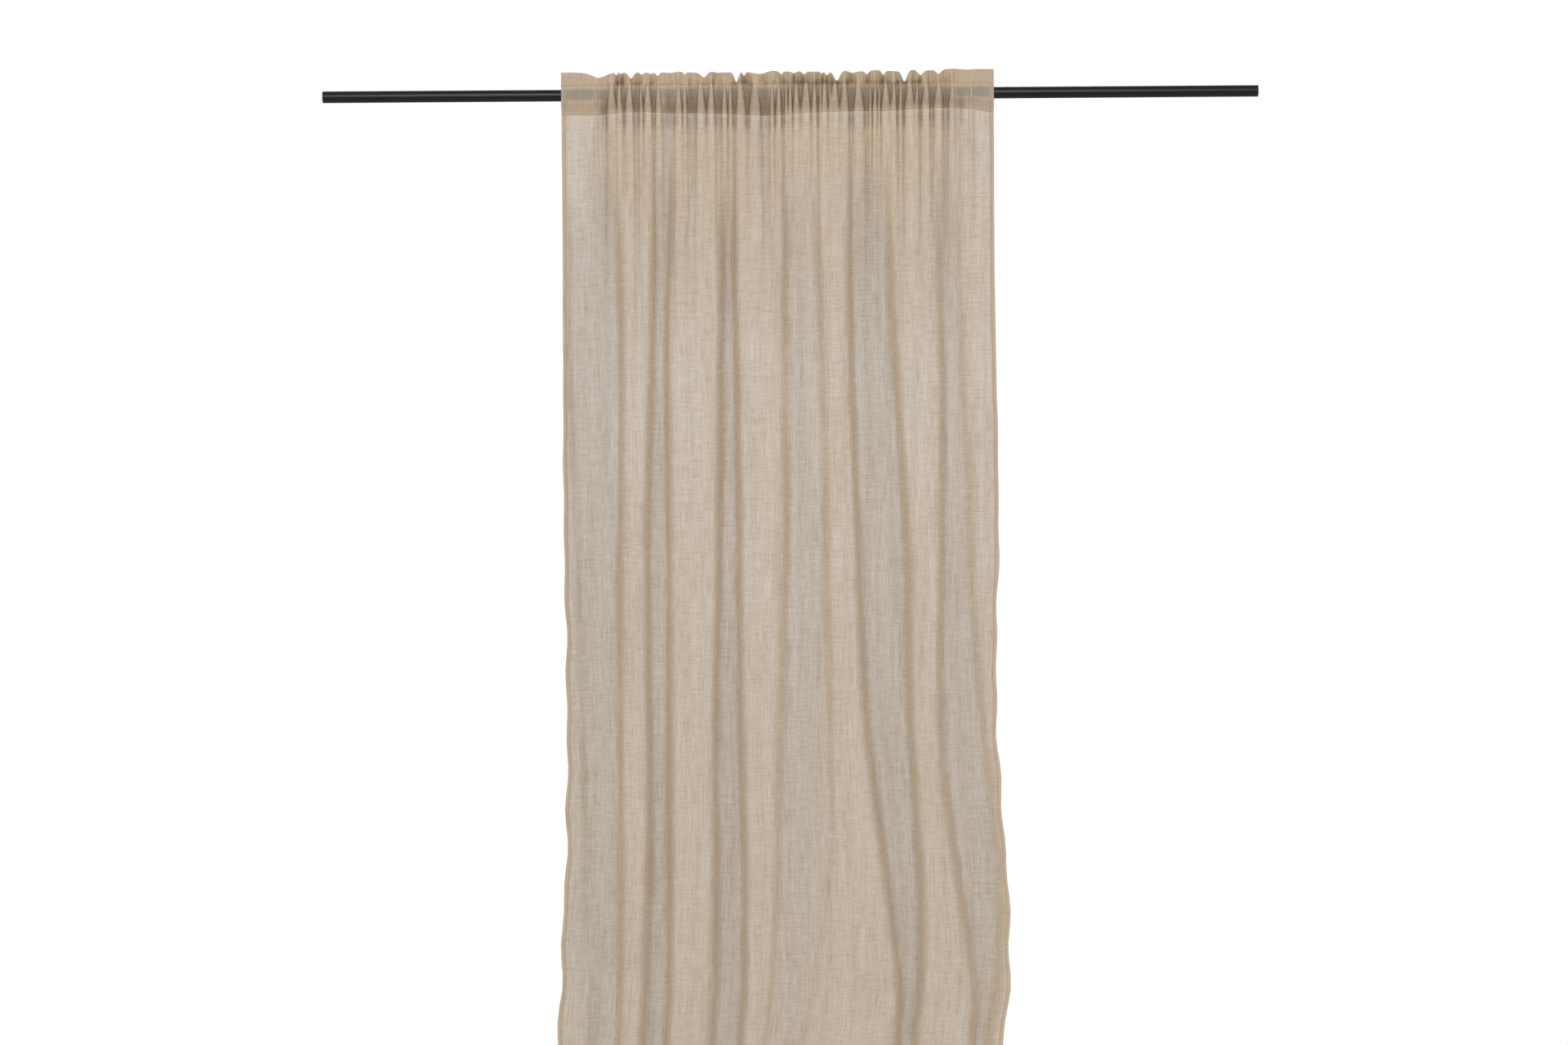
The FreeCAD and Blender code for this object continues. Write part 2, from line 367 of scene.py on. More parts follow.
def surface(across, z, frill, side):
    """Points (x, y, z) of the sheet.

    With g the gather height, the walls over the rod are y = -(clear + ridge g) in front and
    y = clear + 0.8 ridge (1 - g) behind, and both run to y = -(depth + 0.42 ridge g) at the
    stitches. Below the seam the front wall runs into the broad folds, and above the upper row
    both run into the scallops."""
    raised, lean = gather_height(across, z)
    clear = ROD_RADIUS + ROD_GAP
    high = ease((z - LOWER_ROW) / (UPPER_ROW - LOWER_ROW))
    at_row = -(SEAM_DEPTH + (TOP_DEPTH - SEAM_DEPTH) * high + ROW_RIDGE * RIDGE * raised)
    front, rear = -(clear + RIDGE * raised), clear + 0.8 * RIDGE * (1 - raised)
    y = at_row + (np.where(side == FRONT, front, rear) - at_row) * pocket_open(z)

    below = np.maximum(LOWER_ROW - z, 0)
    grown = ease(below / (260 * MM))
    swell = ease(below / (30 * MM))
    columns = at_row - 0.38 * RIDGE * raised * swell
    hanging = fold_depth(across, z) * grown + columns * (1 - 0.6 * grown)
    y = np.where(below > 0, hanging + crumple(across, z) * ease(below / (60 * MM)), y)

    bulge = scallop(across)
    creases = np.sin(across / (2.1 * MM) + 3 * np.sin(across / (17 * MM)))
    ripple = FRILL_RIPPLE * creases * frill * (1 - frill) * 4
    flat_end = ease((across - 50 * MM) / (20 * MM)) * ease((GATHERS_END - across) / (20 * MM))
    puff = FRILL_PUFF * np.abs(bulge) ** 0.6 * np.sin(math.pi * frill) ** 0.6
    puff = np.where(side == FRONT, -1, 0.7) * puff
    stand = -TOP_DEPTH * (1 - 0.5 * frill) - ROW_RIDGE * RIDGE * raised * (1 - frill) ** 2.2
    free = stand + (FRILL_SWAY * bulge * frill ** 0.8 + ripple + puff) * flat_end
    y = np.where(frill > 0, free, y)

    lift = through(SEAM_PLACES, SEAM_LIFT, across / MM) * MM
    near_seam = np.exp(-((z - LOWER_ROW) / (26 * MM)) ** 2)
    up = z + lift * near_seam
    up = np.where(frill > 0, UPPER_ROW + (frill_top(across) - UPPER_ROW) * frill, up)

    left = through(EDGE_HEIGHTS, LEFT_EDGE, z) * MM
    right = through(EDGE_HEIGHTS, RIGHT_EDGE, z) * MM
    x = LEFT + left + across / HUNG_WIDTH * (HUNG_WIDTH + right - left)
    to_edge = np.minimum(across, HUNG_WIDTH - across)
    free_edge = ease((-0.35 - z) / 0.8) * np.exp(-to_edge / (22 * MM))
    waves = np.sin(z / (19 * MM)) + 0.7 * np.sin(z / (31 * MM) + across / (90 * MM))
    x = x + EDGE_RIPPLE * free_edge * waves
    x = x + lean * np.where(frill > 0, 1 - frill, 1)
    return x, y, up


across = np.linspace(0, HUNG_WIDTH, DENSE)[None, :]
dense_x, dense_y, dense_z = surface(across, row_z, row_frill, row_side)
run = np.hypot(np.diff(dense_x, axis=1), np.diff(dense_y, axis=1))
cloth = np.concatenate([np.zeros((len(ROWS), 1)), np.cumsum(run, axis=1)], axis=1)
print("cloth along a row, at most", round(float(cloth[:, -1].max()), 3),
      "and at least", round(float(cloth[:, -1].min()), 3))

# %% [markdown]
# Now the rows are cut by length of cloth, and the side hems are turned behind: each column carries
# its own place on the flat cloth, and the layer it lies in.

# %% The grid
COLUMNS = 500                         # columns of the single-layer cloth
HEM_COLUMNS = 7                       # and of each side hem
HEM_SHARE = SIDE_HEM / FLAT_WIDTH
SETTLE = 140 * MM                     # how far up and down a warp thread averages the folds


def column_table():
    """For each column: its place on the finished width, from 0 to 1, its layer, and u in metres."""
    turn = HEM_SHARE * np.array([0.1, 0.55, 0.97])
    back = HEM_SHARE * np.array([1.0, 0.66, 0.33, 0.0])
    single = np.linspace(0, 1, COLUMNS)
    place = np.concatenate([turn, back, single, 1 - back[::-1], 1 - turn[::-1]])
    layer = np.concatenate([[1] * 3, [2] * 4, [0] * COLUMNS, [2] * 4, [1] * 3])
    flat = np.concatenate([turn - 2 * HEM_SHARE, -back, single,
                           1 + back[::-1], 1 + 2 * HEM_SHARE - turn[::-1]])
    return place, layer, flat * FLAT_WIDTH


column_place, column_layer, column_u = column_table()


def settled(share):
    """Each row's share of cloth used so far, averaged with the rows around it.

    Warp threads hang nearly straight, so they can't follow every change in a fold's shape. The
    rows are weighted by exp(-(dz / SETTLE)^2) and their own spacing; the whole heading, gathered
    on one pair of threads, counts as one height."""
    z = np.minimum(row_z, LOWER_ROW)
    spacing = np.abs(np.gradient(z[:, 0])) + 0.2 * MM
    weight = np.exp(-((z - z.T) / SETTLE) ** 2) * spacing[None, :]
    weight *= (row_frill.T == 0) & (row_layer.T == 0)
    return weight @ share / weight.sum(axis=1, keepdims=True)


share_used = settled(cloth / cloth[:, -1:])


def cut(values):
    """Each row's values at the columns' places, measured along the cloth."""
    return np.stack([np.interp(column_place, s, v) for s, v in zip(share_used, values)])


grid_x, grid_y, grid_z = cut(dense_x), cut(dense_y), cut(dense_z)
tangent_x = cut(np.gradient(dense_x, axis=1))
tangent_y = cut(np.gradient(dense_y, axis=1))
tangent_length = np.hypot(tangent_x, tangent_y)
outward = np.stack([tangent_y, -tangent_x], axis=-1) / tangent_length[..., None]   # to the room

layers = column_layer[None, :] + np.where(row_side == FRONT, row_layer, -row_layer)
behind = LAYER * layers + np.where(row_side == REAR, 0.5 * LAYER, 0)
grid_x = grid_x - outward[..., 0] * behind
grid_y = grid_y - outward[..., 1] * behind
points = np.stack([grid_x, grid_y, grid_z], axis=-1)
print("grid:", points.shape[:2], "triangles:", 2 * (points.shape[0] - 1) * (points.shape[1] - 1))


# %% [markdown]
# A helper makes the mesh of any grid of points, with a UV map in metres of flat cloth, so that
# the weave has its real size everywhere.

# %% Grid to mesh
def new_piece(name, mesh):
    piece = bpy.data.objects.new(name, mesh)
    bpy.context.scene.collection.objects.link(piece)
    return piece


def grid_piece(name, grid, u, v):
    """A mesh of the grid's quads: corner (i, j) joins (i, j), (i, j+1), (i+1, j+1), (i+1, j)."""
    rows, columns = grid.shape[:2]
    index = np.arange(rows * columns).reshape(rows, columns)
    quads = np.stack([index[:-1, :-1], index[:-1, 1:], index[1:, 1:], index[1:, :-1]], axis=-1)
    quads = quads.reshape(-1, 4)
    mesh = bpy.data.meshes.new(name)
    mesh.from_pydata(grid.reshape(-1, 3).tolist(), [], quads.tolist())
    flat = np.stack(np.broadcast_arrays(u, v), axis=-1).reshape(-1, 2)
    uv = mesh.uv_layers.new(name="flat_cloth")
    uv.data.foreach_set("uv", flat[quads.reshape(-1)].astype(np.float32).reshape(-1))
    mesh.shade_smooth()
    return new_piece(name, mesh)


climb = np.concatenate([[0], np.cumsum(np.abs(np.diff(grid_z.mean(1))))])
panel = grid_piece("panel_cloth", points, column_u[None, :], climb[:, None])
print("length of the sheet, raw edge to raw edge", round(float(climb[-1]), 3))

# %% [markdown]
# Sheer cloth looks denser and warmer where more of it lies in the line of sight: on the flanks of
# the folds, in the gathers, and where hems double it. A renderer that sees one thin surface can't
# know this, so three values are kept with the mesh, and the finish reads them. The warmth and the
# shade that they give are painted into the cloth's colour. All three depend on the cloth's own
# shape only, never on where the camera stands. The first is `fullness`: the mean of the slant at
# the spot itself and of the cloth used per width around it. Further down it is raised, so the lower
# cloth looks denser and warmer.

# %% Fullness
MOST_SLANT = 2.6                      # beyond this a flank looks no denser
AROUND = round(4 * MM / HUNG_WIDTH * DENSE)
FULLNESS_TOP, FULLNESS_GAIN = 1.10, 0.26    # fullness near the top, and what it gains further down
DOUBLED = 0.7                         # what a second layer adds


def store(mesh, name, values):
    """Keeps one number per corner point of the mesh."""
    attribute = mesh.attributes.new(name, "FLOAT", "POINT")
    attribute.data.foreach_set("value", np.asarray(values, np.float32).reshape(-1))


facing = np.abs(outward[..., 1])
slant = 1 / np.maximum(facing, 1 / MOST_SLANT)
padded = np.pad(cloth, ((0, 0), (AROUND, AROUND)), mode="reflect", reflect_type="odd")
used = (padded[:, 2 * AROUND:] - padded[:, :-2 * AROUND]) / (2 * AROUND * HUNG_WIDTH / DENSE)
used = np.clip(cut(used), 1, MOST_SLANT)
# Lower down the fullness is raised, so the cloth there looks denser and warmer.
hung = FULLNESS_TOP + FULLNESS_GAIN * ease(-0.4 - row_z)      # from 0.4 to 1.4 m below the rod
in_heading = row_z > LOWER_ROW
off_rod = in_heading & (np.abs(row_z) > 0.95 * ROD_RADIUS)
in_hem = (column_place < HEM_SHARE) | (column_place > 1 - HEM_SHARE)
doubled = 1 + DOUBLED * (off_rod | (row_z < HEM_TOP) | in_hem[None, :])
fullness = (0.5 * slant + 0.5 * used) * hung * doubled
print("mean fullness", round(float(fullness.mean()), 2))


# %% [markdown]
# Below the casing seam the gathers run on for a while as columns, and there the cloth is fuller
# than further down, most of all on the columns themselves. `gathered` says how much a spot belongs
# to that stretch. It is 1 just under the seam, fades over some 40 cm, and is 0 at the two flat
# ends of the heading.

# %% Columns under the heading
def mean_around(values, reach):
    """The running mean of each row over `reach` metres to either side."""
    half = round(reach / HUNG_WIDTH * DENSE)
    ends = np.pad(values, ((0, 0), (half + 1, half)), mode="edge")
    total = np.cumsum(ends, axis=1)
    return (total[:, 2 * half + 1:] - total[:, :-2 * half - 1]) / (2 * half + 1)


dense_raised = gather_height(across, np.maximum(row_z, LOWER_ROW))[0]
raised_here = cut(gather_height(across, row_z)[0])
busy = ease((mean_around(dense_raised, 22 * MM) - 0.12) / 0.25)
below = LOWER_ROW - row_z
under_seam = ease(below / (15 * MM)) * (1 - ease((below - 60 * MM) / (420 * MM)))
gathered = cut(busy) * under_seam
fullness = fullness * (1 + (0.25 + 0.2 * raised_here) * gathered)
store(panel.data, "fullness", fullness)
print("share of the cloth in columns", round(float((gathered > 0.5).mean()), 2))

# %% [markdown]
# The second value is `hollow`: 1 where the cloth hangs far back or lies over the dark rod. It is
# painted shade: less of the room's warm light reaches the cloth there, so the finish tints it cooler
# and greyer. The ridges of the heading stand clear of the rod and keep their colour.

# %% Hollows
HOLLOW_BACK, HOLLOW_ROD = 0.75, 0.9   # strongest tint far back in the drape, and over the rod
PANEL_DEPTH = 15 * MM                 # front and rear panels hang about this far off the axis

depth = cut(mean_around(dense_y, 11 * MM))
on_rod = np.exp(-((row_z - 1 * MM) / (9 * MM)) ** 4)
# Painted shade: far back in the drape, and over the rod where no ridge stands clear of it.
hollow = HOLLOW_BACK * ease((depth + PANEL_DEPTH) / (2 * PANEL_DEPTH)) * ease(below / (40 * MM))
hollow = hollow + HOLLOW_ROD * on_rod * (1 - 0.85 * raised_here)
store(panel.data, "hollow", hollow)
print("hollow from", round(float(hollow.min()), 2), "to", round(float(hollow.max()), 2))

# %% [markdown]
# The third is `crease`: the shade that collects in tight places, where several layers meet. Real
# light needs many bounces between translucent layers to give it, so it is added up here, place by
# place: between the ridges and along their feet, in the pinch of the upper row, at the foot and
# in the dips of the frill, and faintly along the columns' edges.

# %% Creases
BETWEEN, RIDGE_FOOT = 0.56, 0.55      # shares of full shade: the hollows between the ridges
PINCH, COLUMN, COLUMN_EDGE = 0.5, 0.17, 0.22
FRILL_FOLD, FRILL_FOOT = 0.65, 0.45
HEADING, FLANK = 0.13, 0.2            # over the whole heading, and on steep cloth there

in_frill = row_frill > 0
at_pinch = np.exp(-((row_z - UPPER_ROW) / (2.5 * MM)) ** 2) * ~in_frill
near_heading = ease((row_z - LOWER_ROW + 40 * MM) / (50 * MM)) * ~in_frill
ridge_foot = np.exp(-((dense_raised - 0.22) / 0.15) ** 2)
between = cut(((1 - dense_raised) ** 1.3 * BETWEEN + RIDGE_FOOT * ridge_foot) * busy)
frill_foot = np.exp(-(row_frill / 0.22) ** 2) * in_frill
frill_fold = cut((1 - dense_raised) * busy) * in_frill * (1 - row_frill) ** 0.7
frill_dip = cut((1 - np.abs(scallop(across)) ** 0.6) * busy) * in_frill * (1.5 - row_frill)
column_edge = np.exp(-((raised_here - 0.25) / 0.2) ** 2)

crease = between * near_heading * (1 - 0.4 * on_rod)
crease = crease + FRILL_FOLD * frill_fold + frill_dip
crease = crease + (PINCH * at_pinch + FRILL_FOOT * frill_foot) * cut(busy)
crease = crease + (HEADING * (1 - 0.9 * raised_here) + FLANK * (1 - facing)) * in_heading
crease = crease + (COLUMN * (1 - raised_here) + COLUMN_EDGE * column_edge) * gathered
store(panel.data, "crease", np.clip(crease, 0, 1))
print("cloth in deep crease", round(float((crease > 0.5).mean()), 3))

# %% [markdown]
# Light soaks through sheer cloth and softens the shading of its folds. The drape's shading normals
# are therefore turned most of the way to those of a smoother surface, averaged over about 18 mm of
# each row. The shape itself isn't touched, and the heading keeps its own crisp normals.

# %% Soft shading of the drape
SOFT_SHADE = 0.85                     # share of the smooth normal
SOFT_REACH = 9 * MM


def in_space(plan):
    """Directions in plan, made three-dimensional with z = 0."""
    return np.concatenate([plan, np.zeros(plan.shape[:2] + (1,))], axis=-1)


def unit(directions):
    """Directions divided by their length."""
    return directions / np.linalg.norm(directions, axis=-1, keepdims=True)


smooth_slope = cut(np.gradient(mean_around(dense_y, SOFT_REACH), axis=1))
step_across = np.gradient(across[0])[0]
smooth = unit(np.stack([smooth_slope, -np.full_like(smooth_slope, step_across)], axis=-1))
share_soft = SOFT_SHADE * ease(below / (40 * MM))[..., None]
own = np.zeros(points.size, np.float32)
panel.data.vertices.foreach_get("normal", own)
own = own.reshape(points.shape)
normals = in_space(outward)
same_way = np.sign(np.sum(own * normals, axis=-1))[..., None]
softened = in_space(outward * (1 - share_soft) + smooth * share_soft)
shading = unit(own * (1 - share_soft) + same_way * softened * share_soft)
panel.data.normals_split_custom_set_from_vertices(shading.reshape(-1, 3).tolist())
turned = np.degrees(np.arccos(np.clip(np.sum(own * shading, axis=-1), -1, 1)))
print("normals turned by", round(float(turned.mean()), 1), "degrees on average")

# %% [markdown]
# The stitches. Each is a short, slightly bowed run of thread on the face of the cloth, drawn as a
# four-sided rod, and neighbours leave a gap where the thread dips through. A row of them is one
# mesh. The lockstitch shows on both faces, and the same helper makes both.

# %% Stitches
THREAD_RADIUS = 0.22 * MM
STITCH = 3.4 * MM                     # pitch of the stitches
COVERED = 0.76                        # share of the pitch that thread covers
STATIONS = np.array([0.0, 0.5, 1.0])  # along a stitch
BOW = np.array([-0.3, 0.9, -0.3])     # height of each station, in thread radii
SIDES = 4


def stitch_row(name, path, off):
    """Stitches along `path` (n points), lifted by `off` (n directions).

    Each stitch has three stations. A ring of four points, centre + radius (cos a aside +
    sin a up), stands at each, and its middle stands 1.2 radii higher than its ends."""
    step = np.linalg.norm(np.diff(path, axis=0), axis=1)
    along = np.concatenate([[0], np.cumsum(step)])
    starts = np.arange(0.3 * STITCH, along[-1] - STITCH, STITCH)
    places = starts[:, None] + COVERED * STITCH * STATIONS[None, :]
    centre = np.stack([np.interp(places, along, path[:, k]) for k in range(3)], axis=-1)
    up = np.stack([np.interp(places, along, off[:, k]) for k in range(3)], axis=-1)
    up = unit(up)
    centre = centre + up * (THREAD_RADIUS * BOW)[None, :, None]
    ahead = unit(centre[:, -1] - centre[:, 0])
    aside = np.cross(ahead[:, None, :], up)
    turn = (2 * math.pi * np.arange(SIDES) / SIDES)[:, None]
    ring = np.cos(turn) * aside[:, :, None, :] + np.sin(turn) * up[:, :, None, :]
    rings = centre[:, :, None, :] + THREAD_RADIUS * ring
    count, stations = rings.shape[:2]
    base = (np.arange(count) * stations * SIDES)[:, None, None]
    ring_index = np.arange(stations - 1)[None, :, None] * SIDES
    corner = np.arange(SIDES)[None, None, :]
    after = (corner + 1) % SIDES
    quads = np.stack([base + ring_index + corner, base + ring_index + after,
                      base + ring_index + SIDES + after, base + ring_index + SIDES + corner], -1)
    first = base[:, 0, :] + np.arange(SIDES)[::-1][None, :]
    last = base[:, 0, :] + (stations - 1) * SIDES + np.arange(SIDES)[None, :]
    faces = quads.reshape(-1, SIDES).tolist() + first.tolist() + last.tolist()
    mesh = bpy.data.meshes.new(name)
    mesh.from_pydata(rings.reshape(-1, 3).tolist(), [], faces)
    mesh.shade_smooth()
    return new_piece(name, mesh)


def flip_check(piece):
    """Turns a closed mesh's faces outwards if its signed volume is negative."""
    shape = bmesh.new()
    shape.from_mesh(piece.data)
    if shape.calc_volume(signed=True) < 0:
        bmesh.ops.reverse_faces(shape, faces=shape.faces)
        shape.to_mesh(piece.data)
    shape.free()


# %% [markdown]
# Each row of stitches follows a row or a column of the panel's own grid, so it keeps to the cloth
# through every ridge and hollow. The two heading rows show on both faces.

# %% Rows of stitches
THREAD_LIFT = 0.1 * MM                # the thread's line over the middle of the cloth


def row_near(z, side):
    """Index of the single-layer row of the given side that lies nearest to height z."""
    single = (row_side[:, 0] == side) & (np.abs(row_layer[:, 0]) < 0.6) & (row_frill[:, 0] == 0)
    return int(np.argmin(np.where(single, np.abs(row_z[:, 0] - z), np.inf)))


main = slice(HEM_COLUMNS, HEM_COLUMNS + COLUMNS)


def across_row(name, z):
    """Stitches along the front face and the rear face of the row at height z."""
    made = []
    for side, sign in ((FRONT, 1), (REAR, -1)):
        i = row_near(z, side)
        off = sign * normals[i, main]
        path = points[i, main] + off * THREAD_LIFT
        made.append(stitch_row(name + ("_front", "_back")[side], path, off))
    return made


stitches = across_row("heading_stitches", UPPER_ROW)
stitches += across_row("casing_stitches", LOWER_ROW)

hem_row = row_near(HEM_TOP - 1.5 * MM, FRONT)
hem_off = normals[hem_row, main]
hem_path = points[hem_row, main] + hem_off * THREAD_LIFT
stitches.append(stitch_row("bottom_hem_stitches", hem_path, hem_off))

from_edge = 3                         # columns from the panel's edge to a side hem's stitches
hem_columns = {"left": HEM_COLUMNS + from_edge, "right": HEM_COLUMNS + COLUMNS - 1 - from_edge}
upright = (row_side[:, 0] == FRONT) & (row_layer[:, 0] == 0) & (row_frill[:, 0] == 0)
for side, column in hem_columns.items():
    off = normals[upright, column]
    path = points[upright, column] + off * THREAD_LIFT
    stitches.append(stitch_row(side + "_side_hem_stitches", path, off))
for piece in stitches:
    flip_check(piece)
print("stitched rows:", [(piece.name, len(piece.data.polygons)) for piece in stitches])

# %% [markdown]
# The care label: a small blank satin tape, caught in the left side hem. It hangs behind the cloth
# near the bottom. It is a grid with a slight bow, and a Solidify modifier gives the tape its
# thickness and closes its edges.

# %% Care label
label_low, label_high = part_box("care_label")
LABEL_ROWS, LABEL_COLUMNS = 14, 8
LABEL_BOW = 1.2 * MM
TAPE = 0.25 * MM
down = np.linspace(label_high.z, label_low.z, LABEL_ROWS)[:, None]
sideways = np.linspace(label_low.x, label_high.x, LABEL_COLUMNS)[None, :]
drop = (label_high.z - down) / (label_high.z - label_low.z)
label_y = (label_low.y + label_high.y) / 2 + LABEL_BOW * np.sin(math.pi * drop)
label_grid = np.stack(np.broadcast_arrays(sideways, label_y, down), axis=-1)
label = grid_piece("care_label_tape", label_grid[::-1], sideways - label_low.x, label_high.z - down)
tape = label.modifiers.new("tape", "SOLIDIFY")
tape.thickness = TAPE
print("label", round(label_high.x - label_low.x, 3), "by", round(label_high.z - label_low.z, 3))

# %% [markdown]
# ## Finishes
# Each finish is a tree of shader nodes. A few helpers make a node, join two sockets and do one step
# of arithmetic, so that the trees below read like formulas.

# %% Node helpers
def node(tree, kind, **settings):
    """A new node with the given settings."""
    made = tree.nodes.new(kind)
    for key, value in settings.items():
        setattr(made, key, value)
    return made


def feed(tree, target, source):
    """Plain numbers go onto the socket, outputs are linked to it."""
    if isinstance(source, bpy.types.NodeSocket):
        tree.links.new(source, target)
    else:
        target.default_value = source


def maths(tree, operation, a, b=None, c=None, clamp=False):
    """One Math node; returns its output."""
    made = node(tree, "ShaderNodeMath", operation=operation, use_clamp=clamp)
    for k, value in enumerate((a, b, c)):
        if value is not None:
            feed(tree, made.inputs[k], value)
    return made.outputs[0]


def share_of(tree, first, second, share):
    """share x first + (1 - share) x second."""
    return maths(tree, "ADD", maths(tree, "MULTIPLY", first, share),
                 maths(tree, "MULTIPLY", second, 1 - share))


def streaks(tree, where, tall, wide, detail, roughness):
    """Noise whose cells are `tall` metres in v and `wide` metres in u."""
    scale = node(tree, "ShaderNodeVectorMath", operation="MULTIPLY")
    tree.links.new(where, scale.inputs[0])
    scale.inputs[1].default_value = (1 / wide, 1 / tall, 1)
    noise = node(tree, "ShaderNodeTexNoise", noise_dimensions="2D")
    noise.inputs["Scale"].default_value = 1.0
    noise.inputs["Detail"].default_value = detail
    noise.inputs["Roughness"].default_value = roughness
    tree.links.new(scale.outputs[0], noise.inputs["Vector"])
    return noise.outputs[0]


# %% [markdown]
# Sheer slubbed voile: fine, uneven warp and weft with air between them. A tiled image of cloth
# would repeat; noise doesn't. One node group reads the flat-cloth UV and gives three values:
# `threads`, how much more or less than usual the threads cover, `tone`, how dark they are, and
# `height` for the bump. Slubs are noise stretched some fifteen times along the thread, so they run
# as short streaks along the warp and along the weft, and finer, longer streaks stand for the even
# threads between them.

# %% Weave group
def weave_group():
    """The slubbed weave, from the flat-cloth UV in metres."""
    tree = bpy.data.node_groups.new("slub_weave", "ShaderNodeTree")
    for name in ("threads", "tone", "height"):
        tree.interface.new_socket(name, in_out="OUTPUT", socket_type="NodeSocketFloat")
    out = node(tree, "NodeGroupOutput")
    where = node(tree, "ShaderNodeUVMap", uv_map="flat_cloth").outputs[0]
    warp_slub = streaks(tree, where, 0.040, 0.0023, 3, 0.65)
    fine_warp = streaks(tree, where, 0.120, 0.0013, 1, 0.5)
    weft_slub = streaks(tree, where, 0.0021, 0.030, 3, 0.65)
    fine_weft = streaks(tree, where, 0.0013, 0.100, 1, 0.5)
    cloudy = streaks(tree, where, 0.35, 0.018, 3, 0.5)
    warp = share_of(tree, warp_slub, fine_warp, 0.65)
    weft = share_of(tree, weft_slub, fine_weft, 0.65)
    both = share_of(tree, warp, weft, 0.58)
    mixed = share_of(tree, both, cloudy, 0.75)
    tree.links.new(maths(tree, "SUBTRACT", mixed, 0.5), out.inputs["threads"])
    tree.links.new(maths(tree, "SUBTRACT", both, 0.5), out.inputs["tone"])
    tree.links.new(both, out.inputs["height"])
    return tree


WEAVE = weave_group()
print("weave group:", len(WEAVE.nodes), "nodes")

# %% [markdown]
# Four more helpers serve the materials themselves: a colour ramp, a mix of two colours, a value
# read back from the mesh, and a new material.

# %% Material helpers
def ramp(tree, factor, stops):
    """A colour ramp through (place, colour) stops."""
    made = node(tree, "ShaderNodeValToRGB")
    for k, (place, colour) in enumerate(stops):
        stop = made.color_ramp.elements[k] if k < 2 else made.color_ramp.elements.new(place)
        stop.position = place
        stop.color = colour
    tree.links.new(factor, made.inputs[0])
    return made.outputs[0]


def colour_mix(tree, share, first, second, kind="MIX"):
    """Two colours mixed by a share; returns the mixed colour."""
    made = node(tree, "ShaderNodeMix", data_type="RGBA", blend_type=kind)
    feed(tree, made.inputs[0], share)
    feed(tree, made.inputs[6], first)
    feed(tree, made.inputs[7], second)
    return made.outputs[2]


def kept_value(tree, name):
    """A value stored with the mesh."""
    return node(tree, "ShaderNodeAttribute", attribute_name=name).outputs["Fac"]


def new_material(name):
    """A material with its node tree and its Principled shader."""
    material = bpy.data.materials.new(name)
    material.use_nodes = True
    tree = material.node_tree
    shader = next(n for n in tree.nodes if n.type == "BSDF_PRINCIPLED")
    return material, tree, shader


# %% [markdown]
# The cloth's material. Light passes between the threads: the share that passes at a spot is the
# open share raised to the power of the fullness, so a fold's flank closes up. What is left is matt
# yarn with a faint sheen: greyish by itself, and warmer where light goes through it twice, a warmth
# that is painted light. On top of that, `hollow` and `crease` darken it with painted shade. A
# translucent shader would be truer to voile, but opening the weave with Alpha keeps one plain
# shader, which every renderer and exporter can read.

# %% Sheer cloth
OPEN_SHARE = 0.19                     # open area of the flat cloth
YARN_GREY = (0.535, 0.438, 0.338, 1)
YARN_WARM = (0.685, 0.535, 0.385, 1)
YARN_SHADE = (0.30, 0.22, 0.15, 1)    # a thick slub
PAINTED_HOLLOW_SHADE = (0.82, 0.875, 0.935, 1)
PAINTED_CREASE_SHADE = (0.34, 0.28, 0.24, 1)

sheer, tree, shader = new_material("sheer_slubbed_voile")
weave = node(tree, "ShaderNodeGroup", node_tree=WEAVE)
steep = kept_value(tree, "fullness")
covered = maths(tree, "MULTIPLY", weave.outputs["threads"], 0.95)
open_here = maths(tree, "MAXIMUM", maths(tree, "SUBTRACT", OPEN_SHARE, covered), 0.01)
passing = maths(tree, "POWER", open_here, steep)

# Painted light: the yarn turns warmer with fullness, for light that has passed through more cloth.
warmth = maths(tree, "MULTIPLY_ADD", steep, 0.55, -0.45, clamp=True)
slub = maths(tree, "MULTIPLY_ADD", weave.outputs["tone"], 2.4, 0.14, clamp=True)
yarn = ramp(tree, warmth, [(0.0, YARN_GREY), (1.0, YARN_WARM)])
yarn = colour_mix(tree, slub, yarn, YARN_SHADE)
# Painted shade: a cool grey tint where `hollow` is high, and a brown one where `crease` is high.
yarn = colour_mix(tree, kept_value(tree, "hollow"), yarn, PAINTED_HOLLOW_SHADE, "MULTIPLY")
yarn = colour_mix(tree, kept_value(tree, "crease"), yarn, PAINTED_CREASE_SHADE, "MULTIPLY")

bump = node(tree, "ShaderNodeBump")
bump.inputs["Strength"].default_value = 0.35
bump.inputs["Distance"].default_value = 0.3 * MM
feed(tree, bump.inputs["Height"], weave.outputs["height"])
feed(tree, shader.inputs["Base Color"], yarn)
feed(tree, shader.inputs["Normal"], bump.outputs[0])
shader.inputs["Roughness"].default_value = 0.85
shader.inputs["Sheen Weight"].default_value = 0.15
shader.inputs["Specular IOR Level"].default_value = 0.2
feed(tree, shader.inputs["Alpha"], maths(tree, "SUBTRACT", 1.0, passing, clamp=True))
panel.data.materials.append(sheer)
print("cloth finish:", len(tree.nodes), "nodes")

# %% [markdown]
# Spun thread is a shade darker than the cloth and slightly mottled; the label is smooth satin; and
# the rod is black enamel, whose gloss varies a little from place to place. All three read Object
# coordinates, because their patterns don't need to follow the surface.

